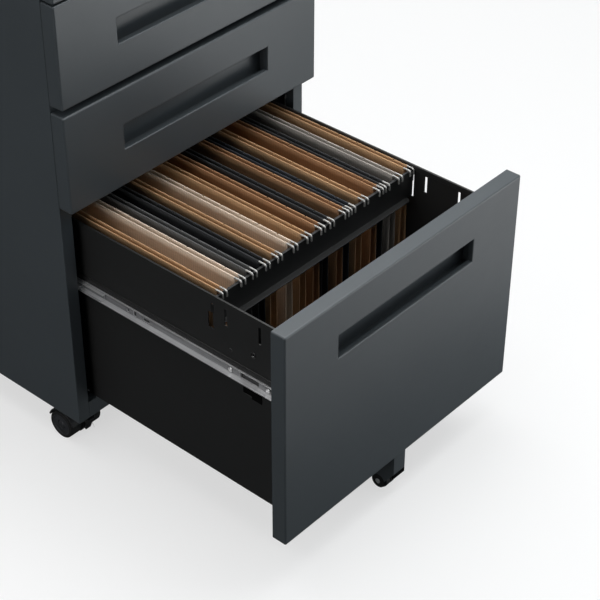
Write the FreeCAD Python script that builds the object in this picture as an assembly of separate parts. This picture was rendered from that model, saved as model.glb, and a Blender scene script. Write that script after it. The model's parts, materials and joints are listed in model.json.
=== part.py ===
import FreeCAD, Part

import os

# Mobile steel pedestal: two box drawers over one file drawer, which is drawn part way out.
# Millimetres. X runs to the right, Y to the back and Z up. Inside this script Y = 0 is the
# carcass front plane and Z = 0 the floor; write() moves every piece so that the origin is
# the middle of the whole footprint. Pieces that come in pairs are drawn on the left.

# --- overall sizes
WIDTH = 390.0
HALF = WIDTH / 2
DEPTH = 560.0
BODY_BOTTOM = 45.0
TOP = 612.0
SHEET = 1.0
BEND = 0.9
FIT = 0.1

# --- carcass
FLANGE = 16.0
FLANGE_LIP = 12.0
REAR_FLANGE = 15.0
PLINTH_TOP = 67.6
POST_WIDTH = 30.0
POST_FRONT_Y = 30.0
POST_REAR_Y = 480.0
POST_SHEET = 1.2
POST_TOP = 589.0

# --- drawer fronts
FRONT_THICK = 19.5
FRONT_GAP = 0.8
FRONT_RADIUS = 2.0
SKIN = 1.2
FILE_BOTTOM = 58.3
FILE_HEIGHT = 279.5
BOX_HEIGHT = 117.8
ROW_GAP = 8.25
FASCIA_GAP = 2.0
MIDDLE_BOTTOM = FILE_BOTTOM + FILE_HEIGHT + ROW_GAP
UPPER_BOTTOM = MIDDLE_BOTTOM + BOX_HEIGHT + ROW_GAP
FASCIA_BOTTOM = UPPER_BOTTOM + BOX_HEIGHT + FASCIA_GAP

# --- finger recess in every front
GRIP_WIDTH = 226.0
GRIP_HEIGHT = 30.0
GRIP_DROP = 43.5
GRIP_RETURN = 6.0
CUP_SIDE = 6.0
CUP_BELOW = 8.0
CUP_ABOVE = 10.0
CUP_SHEET = 0.8

# --- drawer boxes: rises are taken from the lower edge of the front
WALL_X = 166.2
WALL = 1.2
BOX_LENGTH = 480.0
WALL_RISE = 10.7
WALL_DROP = 25.5
BACK_DROP = 12.0
HEM = 2.4
HEM_HEIGHT = 6.3
FILE_OPEN = 301.0
FILE_SLIDE_RISE = 165.8
BOX_SLIDE_RISE = 42.0
FILE_LATCH_RISE = 197.7
BOX_LATCH_RISE = 74.7

# --- telescopic slides: sizes across the 12.7 mm gap, and up from the underside of the rail
SLIDE_GAP = 12.7
SLIDE_LENGTH = 480.0
SLIDE_SETBACK = 1.0
SLIDE_SHEET = 1.2
RAIL_HEIGHT = 10.1
RAIL_FLANGE = 8.0
RAIL_LIP = 2.2
RAIL_LIP_SHEET = 0.8
RAIL_HOLE_PLACE = 233.5
RAIL_HOLE_RISE = 4.7
RAIL_HOLE_RADIUS = 2.0
RUNNER_LENGTH = 350.0
RUNNER_START = 119.5
RUNNER_SHEET = 1.0
RUNNER_GAP = 1.6
RUNNER_LOW = 1.7
RUNNER_HIGH = 8.9
RUNNER_LOWER_REACH = 7.6
RUNNER_UPPER_REACH = 5.4
CHANNEL_START = 3.0
CHANNEL_LOW = -6.0
CHANNEL_HIGH = 20.0
TONGUE_LOW = 4.6
TONGUE_REACH = 9.3

# Punched windows of a rail: front and back end, measured from the rail's front, then low and high edge.
RAIL_WINDOWS = ((40.5, 65.5, 1.6, 8.6), (200.5, 210.0, 2.8, 6.6), (221.0, 225.0, 1.8, 8.2))
RAIL_TAB_PLACE = 65.5

# --- screws that hold the rails to the drawer walls
SCREW_PLACES = (27.0, 80.0)
SCREW_RISE = 5.2
SCREW_RADIUS = 1.6
SCREW_TIP = 0.8
SCREW_HEAD_RADIUS = 2.9
SCREW_HEAD = 1.4
CROSS_DEPTH = 0.8
CROSS_HALF_WIDTH = 0.35
CROSS_HALF_LENGTH = 1.7

# --- hanging file rails and folders (places with the file drawer drawn out by FILE_OPEN)
HANGER_Y = -195.0
HANG_SPAN = 330.0
HANGER_BOTTOM = 271.7
HANGER_TOP = 306.3
HANGER_SHEET = 1.5
HANGER_SLACK = 0.2
HANGER_HEM_HEIGHT = 7.3
HANGER_NOTCH = 2.5
HANGER_LIP = 7.4
HANGER_LIP_HALF = 154.0
HANGER_LIP_RADIUS = 6.0
TAB_LOW = 290.5
TAB_HIGH = 300.0
FOLDER_X = (-150, -122, -104.5, -84, -65, -40, -17.5, 5, 20, 45, 56, 78, 104.5, 115.5, 138.5, 159)
FOLDER_TOP = 310.0
FOLDER_BOTTOM = 72.0
FOLDER_HALF_TOP = 3.5
FOLDER_HALF_BOTTOM = 1.2
FOLDER_END_GAP = 7.0
HOOK_THICK = 1.2
HOOK_REACH = 3.5
HOOK_GAP = 1.2
HOOK_LIFT = 0.3
HOOK_RISE = 0.6
HOOK_DROP = 7.0

# --- openings in the file drawer's walls: along Y from the drawer's front, drops from the top edge
BEAD_RISE = 169.8
BEAD_HEIGHT = 3.4
BEAD_PROUD = 1.0
SPARE_SLOT_PLACES = (40.5, 87.5)
SPARE_SLOT_HALF = 1.65
SPARE_SLOT_DROPS = (9.0, 30.0)
TAB_SLOT_AHEAD = 1.3
TAB_SLOT_BEHIND = 2.1
TAB_SLOT_DROPS = (10.5, 23.0)
KEYHOLE_BEHIND = 6.7
KEYHOLE_DROPS = (23.0, 43.0)
CATCH_WINDOW = (39.0, 63.0)
CATCH_WINDOW_DROPS = (97.0, 106.0)
WALL_HOLE_PLACE = 49.5
WALL_HOLE_DROP = 48.6
WALL_HOLE_RADIUS = 2.4

# --- castors: heights above the floor
CASTOR_X = 167.0
CASTOR_FRONT_Y = 24.0
CASTOR_REAR_Y = 520.0
CASTOR_TRAIL = 16.0
WHEEL_RADIUS = 18.0
WHEEL_INNER = 6.3
WHEEL_OUTER = 24.0
WHEEL_ROUND = 1.8
AXLE_RADIUS = 2.5
AXLE_INSET = 1.0
STEM_RADIUS = 4.0
STEM_LENGTH = 14.5
PLATE_RADIUS = 17.0
PLATE_THICK = 2.5
HOOD_OUTER_RADIUS = 21.6
HOOD_INNER_RADIUS = 19.2
HOOD_INSET = 0.8
HOOD_COVER_LOW = 24.0
HOOD_WEB = 5.6
HOOD_WEB_RADIUS = 18.8
HOOD_WEB_LOW = 3.6
HOOD_NECK_TOP = 38.0
BOSS_LOW = 26.0
BOSS_TOP = 41.9
RUNNING = 0.05
PRESSED = 0.02

# --- brake pedal, drawn from the castor's swivel axis
PEDAL_PIVOT_Y = -8.5
PEDAL_PIVOT_Z = 26.5
PEDAL_HALF = 4.1
PEDAL_PIN = 1.5
PEDAL_OUTLINE = (
    (-11.5, 27.5), (-7.0, 28.5), (-5.2, 24.0), (-4.6, 18.0),
    (-3.2, 10.5), (-5.0, 9.5), (-8.0, 17.0), (-11.5, 24.0),
)
EAR_GAP = 0.3
EAR = 1.6
EAR_AHEAD = 3.0
EAR_BACK = -2.0
EAR_BELOW = 3.0
EAR_ABOVE = 3.5

# --- small castor under the file drawer front
TIP_WHEEL_RADIUS = 10.5
TIP_WHEEL_HALF = 7.8
TIP_WHEEL_ROUND = 1.2
TIP_AXLE_Y = -297.5
TIP_AXLE_RADIUS = 2.0
RIVET_HEAD = 1.2
RIVET_HEAD_RADIUS = 3.2
BRACKET_HALF = 10.0
BRACKET_DEPTH = 15.5
BRACKET_FOOT = 31.7
BRACKET_TOP = 80.0
BRACKET_NECK_TOP = 42.5
BRACKET_NECK_LOW = 36.0
CHEEK_LOBE = 6.0
CHEEK_LOBE_FRONT = 4.0
BRACKET_SLOT_FIT = 0.2
BRACKET_SLOT_DEPTH = 17.4

# --- lock
LOCK_X = 150.0
LOCK_Z = 602.0
LOCK_PLUG_RADIUS = 6.0
LOCK_BODY_RADIUS = 7.5
LOCK_COLLAR = 1.2
LOCK_COLLAR_RADIUS = 8.5
KEYWAY_HALF_WIDTH = 0.9
KEYWAY_HALF_HEIGHT = 4.0
KEYWAY_DEPTH = 8.0
LOCK_THROW = 8.0
CAM_Y = 1.5
CAM_SHEET = 2.0
CAM_RADIUS = 5.0
CAM_HALF = 3.0
CAM_PIN = 2.0
BAR_X = (181.0, 191.0)
BAR_Y = (14.0, 16.0)
BAR_FOOT = 200.0
BAR_HEAD = 609.0
BAR_ARM = (-6.0, -9.0, 7.0)
BAR_SLOT = (-4.0, 14.0, -6.0, 3.0)
HOOK_PLATE = 12.0
HOOK_CLEARANCE = 1.5
HOOK_START = 3.0
GUIDE_HEIGHTS = (235.0, 520.0)
GUIDE_THICK = 3.0
GUIDE_CHEEK = 1.8
STUD_Y = 18.5
STUD_RADIUS = 2.0
STUD_LENGTH = 9.0

ORIGIN_SHIFT = FreeCAD.Vector(0, (FILE_OPEN + FRONT_THICK - DEPTH) / 2, 0)
CENTRE = FreeCAD.Vector(0, 0, 0)
ALONG_X = FreeCAD.Vector(1, 0, 0)
ALONG_Y = FreeCAD.Vector(0, 1, 0)
ALONG_Z = FreeCAD.Vector(0, 0, 1)
BEYOND = 5.0


class Drawer:
    """The places that a drawer's pieces share."""

    def __init__(self, name, bottom, height, slide_rise, latch_rise, drawn=0.0):
        self.name = name
        self.bottom = bottom
        self.top = bottom + height
        self.drawn = drawn
        self.face_y = -FRONT_THICK - drawn
        self.back_y = -FRONT_GAP - drawn
        self.wall_bottom = bottom + WALL_RISE
        self.wall_top = self.top - WALL_DROP
        self.grip_top = self.top - GRIP_DROP
        self.grip_bottom = self.grip_top - GRIP_HEIGHT
        self.slide_z = bottom + slide_rise
        self.latch_z = bottom + latch_rise


UPPER = Drawer("upper", UPPER_BOTTOM, BOX_HEIGHT, BOX_SLIDE_RISE, BOX_LATCH_RISE)
MIDDLE = Drawer("middle", MIDDLE_BOTTOM, BOX_HEIGHT, BOX_SLIDE_RISE, BOX_LATCH_RISE)
FILE = Drawer("file", FILE_BOTTOM, FILE_HEIGHT, FILE_SLIDE_RISE, FILE_LATCH_RISE, FILE_OPEN)


# --- helpers

def block(x, y, z):
    """A box between two limits on each axis, given in any order."""
    low = FreeCAD.Vector(min(x), min(y), min(z))
    high = FreeCAD.Vector(max(x), max(y), max(z))
    size = high - low
    return Part.makeBox(size.x, size.y, size.z, low)


def rod(radius, length, start, along):
    return Part.makeCylinder(radius, length, FreeCAD.Vector(*start), along)


def prism(points, along):
    """A flat outline, given as points in space, pushed along a vector."""
    vectors = [FreeCAD.Vector(*point) for point in points]
    face = Part.Face(Part.makePolygon(vectors + vectors[:1]))
    return face.extrude(FreeCAD.Vector(*along))


def join(pieces):
    solid = pieces[0]
    for piece in pieces[1:]:
        solid = solid.fuse(piece)
    return solid.removeSplitter()


def mirrored(shape):
    return shape.mirror(CENTRE, ALONG_X)


def both_sides(pieces):
    return [*pieces, *(mirrored(piece) for piece in pieces)]


def round_edges(solid):
    """The circular edges of a wheel."""
    return [edge for edge in solid.Edges if edge.Curve.TypeId == "Part::GeomCircle"]


def write(name, *pieces):
    """Write one node; several pieces stay separate solids."""
    shape = pieces[0] if len(pieces) == 1 else Part.makeCompound(list(pieces))
    placed = shape.copy()
    placed.translate(ORIGIN_SHIFT)
    placed.exportStep("parts/" + name + ".step")


# --- carcass

def side_panel():
    """Folded side: skin, front flange with a lip, and rear flange."""
    outer = -HALF
    height = (BODY_BOTTOM, TOP - SHEET)
    skin = block((outer, outer + SHEET), (0, DEPTH), height)
    flange = block((outer, outer + FLANGE), (0, SHEET), height)
    lip = block((outer + FLANGE - SHEET, outer + FLANGE), (0, FLANGE_LIP), height)
    rear = block((outer, outer + REAR_FLANGE), (DEPTH - SHEET, DEPTH), height)
    panel = join([skin, flange, lip, rear])
    bend = [edge for edge in panel.Edges if is_outer_bend(edge, outer)]
    return panel.makeFillet(BEND, bend)


def is_outer_bend(edge, outer):
    """True for the tall corner edge where the side skin turns into its front flange."""
    box = edge.BoundBox
    return box.ZLength > DEPTH / 2 and abs(box.XMin - outer) < 0.01 and box.YMax < 0.01


def base_pan():
    """Floor of the carcass, its front folded up into the plinth rail."""
    between = HALF - FLANGE - FIT
    inside = HALF - SHEET - FIT
    floor_z = (BODY_BOTTOM, BODY_BOTTOM + SHEET)
    floor = block((-inside, inside), (FLANGE_LIP + FIT, DEPTH - SHEET - FIT), floor_z)
    tongue = block((-between, between), (0, FLANGE_LIP + FIT), floor_z)
    rail = block((-between, between), (0, SHEET), (BODY_BOTTOM, PLINTH_TOP))
    fold = block((-between, between), (0, FLANGE_LIP), (PLINTH_TOP - SHEET, PLINTH_TOP))
    return join([floor, tongue, rail, fold])


def back_panel():
    half = HALF - REAR_FLANGE - FIT
    return block((-half, half), (DEPTH - SHEET, DEPTH), (BODY_BOTTOM + SHEET, TOP - SHEET))


def top_panel():
    """Flat top sheet with a downstand behind the fascia."""
    between = HALF - FLANGE - FIT
    sheet = block((-HALF, HALF), (0, DEPTH), (TOP - SHEET, TOP))
    downstand = block((-between, between), (0, SHEET), (FASCIA_BOTTOM, TOP))
    opening = rod(LOCK_BODY_RADIUS + FIT, 2 * BEYOND, (LOCK_X, -BEYOND, LOCK_Z), ALONG_Y)
    return join([sheet, downstand]).cut(opening)


def top_fascia():
    """Narrow folded strip over the upper drawer, with the hole for the lock."""
    hole = rod(LOCK_BODY_RADIUS + PRESSED, 2 * FRONT_THICK, (LOCK_X, -FRONT_THICK - BEYOND, LOCK_Z), ALONG_Y)
    return front_pan(FASCIA_BOTTOM, TOP, -FRONT_THICK, 0.0).cut(hole)


def slide_post(y):
    """Upright channel that carries the slides, open towards the side panel."""
    inner_face = -(WALL_X + SLIDE_GAP)
    outer_face = -(HALF - SHEET)
    height = (BODY_BOTTOM + SHEET, POST_TOP)
    solid = block((outer_face, inner_face), (y, y + POST_WIDTH), height)
    hollow = block(
        (outer_face, inner_face - POST_SHEET),
        (y + POST_SHEET, y + POST_WIDTH - POST_SHEET),
        height,
    )
    return solid.cut(hollow)


def bar_guide(z):
    """Fork on the right front post that the locking bar slides through."""
    cheek_x = BAR_X[0] - GUIDE_CHEEK
    cheek_y = BAR_Y[0] - GUIDE_CHEEK
    fork = block((cheek_x, HALF - SHEET), (cheek_y, POST_FRONT_Y), (z, z + GUIDE_THICK))
    slot = block(
        (BAR_X[0] - FIT, BAR_X[1] + FIT),
        (BAR_Y[0] - FIT, BAR_Y[1] + FIT),
        (z - FIT, z + GUIDE_THICK + FIT),
    )
    return fork.cut(slot)


def write_carcass():
    left = side_panel()
    write("side_panel_left", left)
    write("side_panel_right", mirrored(left))
    write("back_panel", back_panel())
    write("base_pan", base_pan())
    write("top_panel", top_panel())
    write("top_fascia", top_fascia())
    front_post = slide_post(POST_FRONT_Y)
    rear_post = slide_post(POST_REAR_Y)
    guided_post = join([mirrored(front_post), *(bar_guide(z) for z in GUIDE_HEIGHTS)])
    write("slide_posts", front_post, guided_post, rear_post, mirrored(rear_post))


# --- drawer fronts

def front_pan(bottom, top, face_y, back_y):
    """Folded front with rounded face edges, open at the back."""
    pan = block((-HALF, HALF), (face_y, back_y), (bottom, top))
    rounded = [edge for edge in pan.Edges if edge.BoundBox.YMin < back_y - 0.01]
    pan = pan.makeFillet(FRONT_RADIUS, rounded)
    inner = HALF - SKIN
    return pan.cut(block((-inner, inner), (face_y + SKIN, back_y), (bottom + SKIN, top - SKIN)))


def front_skin(drawer):
    """Front pan with the finger opening, whose edge turns inwards."""
    half = GRIP_WIDTH / 2
    pan = front_pan(drawer.bottom, drawer.top, drawer.face_y, drawer.back_y)
    collar_back = drawer.face_y + GRIP_RETURN
    collar = block(
        (-half - SKIN, half + SKIN),
        (drawer.face_y + SKIN / 2, collar_back),
        (drawer.grip_bottom - SKIN, drawer.grip_top + SKIN),
    )
    opening = block(
        (-half, half),
        (drawer.face_y - FIT, collar_back + FIT),
        (drawer.grip_bottom, drawer.grip_top),
    )
    return pan.fuse(collar).cut(opening).removeSplitter()


def handle_cup(drawer):
    """Sheet cup behind the opening, open towards the front skin."""
    skin_y = drawer.face_y + SKIN
    rear_y = drawer.back_y - SHEET
    low = drawer.grip_bottom - CUP_BELOW
    high = drawer.grip_top + CUP_ABOVE
    half = GRIP_WIDTH / 2 + CUP_SIDE
    shell = block((-half, half), (skin_y, rear_y), (low, high))
    hollow = block(
        (-half + CUP_SHEET, half - CUP_SHEET),
        (skin_y, rear_y - CUP_SHEET),
        (low + CUP_SHEET, high - CUP_SHEET),
    )
    return shell.cut(hollow)


def front_liner(drawer):
    """Flat sheet that closes the back of the front pan."""
    half = HALF - SKIN - FIT
    inset = SKIN + FIT
    height = (drawer.bottom + inset, drawer.top - inset)
    return block((-half, half), (drawer.back_y - SHEET, drawer.back_y), height)


def write_front(drawer, skin):
    write(drawer.name + "_front_skin", skin)
    write(drawer.name + "_handle_cup", handle_cup(drawer))
    write(drawer.name + "_front_liner", front_liner(drawer))


# --- drawer boxes

def side_wall(drawer):
    """Drawer wall with a folded hem along its top edge and the holes for the rail's screws."""
    y = (drawer.back_y, drawer.back_y + BOX_LENGTH)
    wall = block((-WALL_X, -WALL_X + WALL), y, (drawer.wall_bottom, drawer.wall_top))
    hem = block((-WALL_X, -WALL_X + HEM), y, (drawer.wall_top - HEM_HEIGHT, drawer.wall_top))
    return join([wall, hem]).cut(screw_holes(drawer))


def latch_stud(drawer):
    """Stud on the right wall that the locking bar catches."""
    return rod(STUD_RADIUS, STUD_LENGTH, (WALL_X, STUD_Y - drawer.drawn, drawer.latch_z), ALONG_X)


def wall_window(ends, drops):
    """Cutter for an opening in the file drawer's wall."""
    across = (-WALL_X - BEYOND, -WALL_X + BEYOND)
    return block(across, ends, (FILE.wall_top - drops[0], FILE.wall_top - drops[1]))


def file_wall():
    """File drawer wall: rail slots, a rolled bead over the slide and a window under it."""
    start = -FILE_OPEN
    rear = HANGER_Y + HANG_SPAN
    bead_z = FILE.wall_bottom + BEAD_RISE
    bead_y = (FILE.back_y, FILE.back_y + BOX_LENGTH)
    bead = block((-WALL_X - BEAD_PROUD, -WALL_X), bead_y, (bead_z, bead_z + BEAD_HEIGHT))
    cutters = [
        wall_window((HANGER_Y - TAB_SLOT_AHEAD, HANGER_Y + TAB_SLOT_BEHIND), TAB_SLOT_DROPS),
        wall_window((HANGER_Y - TAB_SLOT_AHEAD, HANGER_Y + KEYHOLE_BEHIND), KEYHOLE_DROPS),
        wall_window((rear - TAB_SLOT_BEHIND, rear + TAB_SLOT_AHEAD), TAB_SLOT_DROPS),
        wall_window((start + CATCH_WINDOW[0], start + CATCH_WINDOW[1]), CATCH_WINDOW_DROPS),
    ]
    for place in SPARE_SLOT_PLACES:
        ends = (start + place - SPARE_SLOT_HALF, start + place + SPARE_SLOT_HALF)
        cutters.append(wall_window(ends, SPARE_SLOT_DROPS))
    hole_start = (-WALL_X - BEYOND, start + WALL_HOLE_PLACE, FILE.wall_top - WALL_HOLE_DROP)
    cutters.append(rod(WALL_HOLE_RADIUS, 2 * BEYOND, hole_start, ALONG_X))
    return join([side_wall(FILE), bead]).cut(Part.makeCompound(cutters))


def drawer_pan(drawer):
    """Floor of a drawer with its back folded up."""
    low = drawer.wall_bottom
    half = WALL_X - WALL
    y_back = drawer.back_y + BOX_LENGTH
    floor = block((-half, half), (drawer.back_y, y_back), (low, low + WALL))
    back = block((-half, half), (y_back - WALL, y_back), (low, drawer.wall_top - BACK_DROP))
    return join([floor, back])


# --- slides

def across_gap(out_from, out_to):
    """Limits on the left side, measured outwards from the drawer wall."""
    return (-WALL_X - out_to, -WALL_X - out_from)


def drawer_rail(drawer):
    """Member screwed to the drawer: web, wide lower flange, small upper lip and a lanced tab."""
    z = drawer.slide_z
    front = SLIDE_SETBACK - drawer.drawn
    y = (front, front + SLIDE_LENGTH)
    web = block(across_gap(0, SLIDE_SHEET), y, (z, z + RAIL_HEIGHT))
    flange = block(across_gap(0, RAIL_FLANGE), y, (z, z + SLIDE_SHEET))
    lip = block(across_gap(0, RAIL_LIP), y, (z + RAIL_HEIGHT - RAIL_LIP_SHEET, z + RAIL_HEIGHT))
    rail = join([web, flange, lip])
    for start, end, low, high in RAIL_WINDOWS:
        window = block(across_gap(-FIT, SLIDE_SHEET + FIT), (front + start, front + end), (z + low, z + high))
        rail = rail.cut(window)
    hole_start = (-WALL_X - SLIDE_SHEET - FIT, front + RAIL_HOLE_PLACE, z + RAIL_HOLE_RISE)
    rail = rail.cut(rod(RAIL_HOLE_RADIUS, SLIDE_SHEET + 2 * FIT, hole_start, ALONG_X))
    _, _, tab_low, tab_high = RAIL_WINDOWS[0]
    tab_y = (front + RAIL_TAB_PLACE, front + RAIL_TAB_PLACE + SLIDE_SHEET)
    tab = block(across_gap(0, 2 * SLIDE_SHEET), tab_y, (z + tab_low, z + tab_high))
    return join([rail, tab]).cut(screw_holes(drawer))


def slide_runner(drawer):
    """Middle member, which travels half as far as the drawer."""
    z = drawer.slide_z
    start = RUNNER_START - drawer.drawn / 2
    y = (start, start + RUNNER_LENGTH)
    web_x = across_gap(RUNNER_GAP, RUNNER_GAP + RUNNER_SHEET)
    web = block(web_x, y, (z + RUNNER_LOW, z + RUNNER_HIGH))
    lower_z = (z + RUNNER_LOW, z + RUNNER_LOW + RUNNER_SHEET)
    upper_z = (z + RUNNER_HIGH - RUNNER_SHEET, z + RUNNER_HIGH)
    lower = block(across_gap(RUNNER_GAP, RUNNER_LOWER_REACH), y, lower_z)
    upper = block(across_gap(RUNNER_GAP, RUNNER_UPPER_REACH), y, upper_z)
    return join([web, lower, upper])


def cabinet_channel(drawer):
    """Member screwed to the posts, with a tongue that the runner rides on."""
    z = drawer.slide_z
    y = (CHANNEL_START, CHANNEL_START + SLIDE_LENGTH)
    web = block(across_gap(SLIDE_GAP - SLIDE_SHEET, SLIDE_GAP), y, (z + CHANNEL_LOW, z + CHANNEL_HIGH))
    tongue_z = (z + TONGUE_LOW, z + TONGUE_LOW + SLIDE_SHEET)
    tongue = block(across_gap(SLIDE_GAP - TONGUE_REACH, SLIDE_GAP), y, tongue_z)
    return join([web, tongue])


def screw_places(drawer):
    """Y and Z of the two screws in a rail."""
    front = SLIDE_SETBACK - drawer.drawn
    return [(front + place, drawer.slide_z + SCREW_RISE) for place in SCREW_PLACES]


def screw_holes(drawer):
    """Cutter for the screws' shanks through a rail and its wall."""
    start_x = -WALL_X - SLIDE_SHEET - FIT
    length = SLIDE_SHEET + HEM + 2 * FIT
    rods = [rod(SCREW_RADIUS + RUNNING, length, (start_x, *place), ALONG_X) for place in screw_places(drawer)]
    return Part.makeCompound(rods)


def rail_screw(y, z):
    """Pan head screw with a cross recess, driven inwards through the rail."""
    seat = -WALL_X - SLIDE_SHEET
    shank = rod(SCREW_RADIUS, SLIDE_SHEET + WALL + SCREW_TIP, (seat, y, z), ALONG_X)
    head = rod(SCREW_HEAD_RADIUS, SCREW_HEAD, (seat - SCREW_HEAD, y, z), ALONG_X)
    rim = [edge for edge in round_edges(head) if edge.BoundBox.XMax < seat - SCREW_HEAD / 2]
    screw = join([shank, head.makeFillet(SCREW_HEAD / 2, rim)])
    recess_x = (seat - SCREW_HEAD - FIT, seat - SCREW_HEAD + CROSS_DEPTH)
    for half_y, half_z in ((CROSS_HALF_LENGTH, CROSS_HALF_WIDTH), (CROSS_HALF_WIDTH, CROSS_HALF_LENGTH)):
        screw = screw.cut(block(recess_x, (y - half_y, y + half_y), (z - half_z, z + half_z)))
    return screw


def write_slides(drawer):
    screws = [rail_screw(*place) for place in screw_places(drawer)]
    write(drawer.name + "_slide_rails", *both_sides([drawer_rail(drawer)]))
    write(drawer.name + "_slide_runners", *both_sides([slide_runner(drawer)]))
    write(drawer.name + "_slide_channels", *both_sides([cabinet_channel(drawer)]))
    write(drawer.name + "_slide_screws", *both_sides(screws))


# --- file drawer fittings

def hanger_rail():
    """Front rail for hanging folders: hemmed plate with a lip, and tabs in the wall slots."""
    half = WALL_X - WALL - HANGER_SLACK
    hem_half = half - HEM
    plate_y = (HANGER_Y, HANGER_Y + HANGER_SHEET)
    plate = block((-half, half), plate_y, (HANGER_BOTTOM, HANGER_TOP))
    hem_y = (HANGER_Y, HANGER_Y + 2 * HANGER_SHEET)
    hem = block((-hem_half, hem_half), hem_y, (HANGER_TOP - HANGER_HEM_HEIGHT, HANGER_TOP))
    lip_y = (HANGER_Y - HANGER_LIP, HANGER_Y + HANGER_SHEET)
    lip_z = (HANGER_BOTTOM, HANGER_BOTTOM + HANGER_SHEET)
    lip = block((-HANGER_LIP_HALF, HANGER_LIP_HALF), lip_y, lip_z)
    lip = lip.makeFillet(HANGER_LIP_RADIUS, [edge for edge in lip.Edges if is_lip_corner(edge)])
    tabs = block((-WALL_X, WALL_X), plate_y, (TAB_LOW, TAB_HIGH))
    notch_x = (-half - FIT, -WALL_X + HEM + HANGER_SLACK)
    notch = block(notch_x, (HANGER_Y - FIT, HANGER_Y + HEM), (HANGER_TOP - HANGER_NOTCH, HANGER_TOP + FIT))
    return join([plate, hem, lip, tabs]).cut(notch).cut(mirrored(notch))


def is_lip_corner(edge):
    """True for the two upright corner edges at the free side of the rail's lip."""
    box = edge.BoundBox
    return box.ZLength > 1 and box.XLength < 0.01 and box.YMax < HANGER_Y - HANGER_LIP + 0.01


def to_rear_rail(shape):
    """A piece at the front rail, turned to the same place at the rear rail."""
    return shape.mirror(FreeCAD.Vector(0, HANGER_Y + HANG_SPAN / 2, 0), ALONG_Y)


def folder(x):
    """One hanging folder with its papers, as a slim wedge."""
    low = HANGER_Y + FOLDER_END_GAP
    outline = [
        (x - FOLDER_HALF_BOTTOM, low, FOLDER_BOTTOM),
        (x + FOLDER_HALF_BOTTOM, low, FOLDER_BOTTOM),
        (x + FOLDER_HALF_TOP, low, FOLDER_TOP),
        (x - FOLDER_HALF_TOP, low, FOLDER_TOP),
    ]
    return prism(outline, (0, HANG_SPAN - 2 * FOLDER_END_GAP, 0))


def folder_hooks(x):
    """The four bar ends of one folder, each bent down over its rail."""
    tip = HANGER_Y - HOOK_REACH
    arm_y = (tip, HANGER_Y + FOLDER_END_GAP)
    drop_y = (tip, HANGER_Y - HOOK_GAP)
    hooks = []
    for side in (-1, 1):
        across = (x + side * (FOLDER_HALF_TOP - HOOK_THICK), x + side * FOLDER_HALF_TOP)
        arm = block(across, arm_y, (HANGER_TOP + HOOK_LIFT, FOLDER_TOP + HOOK_RISE))
        drop = block(across, drop_y, (HANGER_TOP - HOOK_DROP, FOLDER_TOP))
        hook = join([arm, drop])
        hooks += [hook, to_rear_rail(hook)]
    return hooks


def tip_bracket():
    """Channel behind the file front that reaches down to the small castor."""
    front_y = FILE.face_y + SKIN
    rear_y = front_y + BRACKET_DEPTH
    lobe_y = TIP_AXLE_Y + CHEEK_LOBE
    plate = block((-BRACKET_HALF, BRACKET_HALF), (front_y, front_y + SKIN), (BRACKET_FOOT, BRACKET_TOP))
    outline = [
        (0, front_y, BRACKET_TOP),
        (0, rear_y, BRACKET_TOP),
        (0, rear_y, BRACKET_NECK_TOP),
        (0, lobe_y, BRACKET_NECK_LOW),
        (0, lobe_y, TIP_WHEEL_RADIUS),
        (0, TIP_AXLE_Y - CHEEK_LOBE_FRONT, TIP_WHEEL_RADIUS - CHEEK_LOBE_FRONT),
        (0, front_y, BRACKET_FOOT),
    ]
    cheek = prism(outline, (SKIN, 0, 0))
    cheek = cheek.fuse(rod(CHEEK_LOBE, SKIN, (0, TIP_AXLE_Y, TIP_WHEEL_RADIUS), ALONG_X))
    cheek.translate(ALONG_X * -BRACKET_HALF)
    bore_start = (-BRACKET_HALF - BEYOND, TIP_AXLE_Y, TIP_WHEEL_RADIUS)
    bore = rod(TIP_AXLE_RADIUS + PRESSED, 2 * (BRACKET_HALF + BEYOND), bore_start, ALONG_X)
    return join([plate, cheek, mirrored(cheek)]).cut(bore)


def tip_slot():
    """Slot in the lower edge of the file front that the bracket passes through."""
    front_y = FILE.face_y + SKIN
    half = BRACKET_HALF + BRACKET_SLOT_FIT
    edge_z = (FILE.bottom - FIT, FILE.bottom + SKIN)
    return block((-half, half), (front_y, front_y + BRACKET_SLOT_DEPTH), edge_z)


def tip_wheel():
    wheel = rod(TIP_WHEEL_RADIUS, 2 * TIP_WHEEL_HALF, (-TIP_WHEEL_HALF, 0, 0), ALONG_X)
    wheel = wheel.makeFillet(TIP_WHEEL_ROUND, round_edges(wheel))
    bore = rod(TIP_AXLE_RADIUS + RUNNING, 4 * TIP_WHEEL_HALF, (-2 * TIP_WHEEL_HALF, 0, 0), ALONG_X)
    return wheel.cut(bore).translated(FreeCAD.Vector(0, TIP_AXLE_Y, TIP_WHEEL_RADIUS))


def tip_axle():
    """Rivet through both cheeks, with a head on each outer face."""
    centre = (TIP_AXLE_Y, TIP_WHEEL_RADIUS)
    left_end = -BRACKET_HALF - RIVET_HEAD
    pin = rod(TIP_AXLE_RADIUS, -2 * left_end, (left_end, *centre), ALONG_X)
    left = rod(RIVET_HEAD_RADIUS, RIVET_HEAD, (left_end, *centre), ALONG_X)
    return join([pin, left, mirrored(left)])


def write_file_drawer():
    write_front(FILE, front_skin(FILE).cut(tip_slot()))
    left = file_wall()
    write("file_side_left", left)
    write("file_side_right", mirrored(left).fuse(latch_stud(FILE)))
    write("file_pan", drawer_pan(FILE))
    front_rail = hanger_rail()
    write("hanger_rails", front_rail, to_rear_rail(front_rail))
    write("folder_cards", *[folder(x) for x in FOLDER_X])
    write("folder_hooks", *[hook for x in FOLDER_X for hook in folder_hooks(x)])
    write("tip_castor_bracket", tip_bracket())
    write("tip_castor_wheel", tip_wheel())
    write("tip_castor_axle", tip_axle())
    write_slides(FILE)


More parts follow.
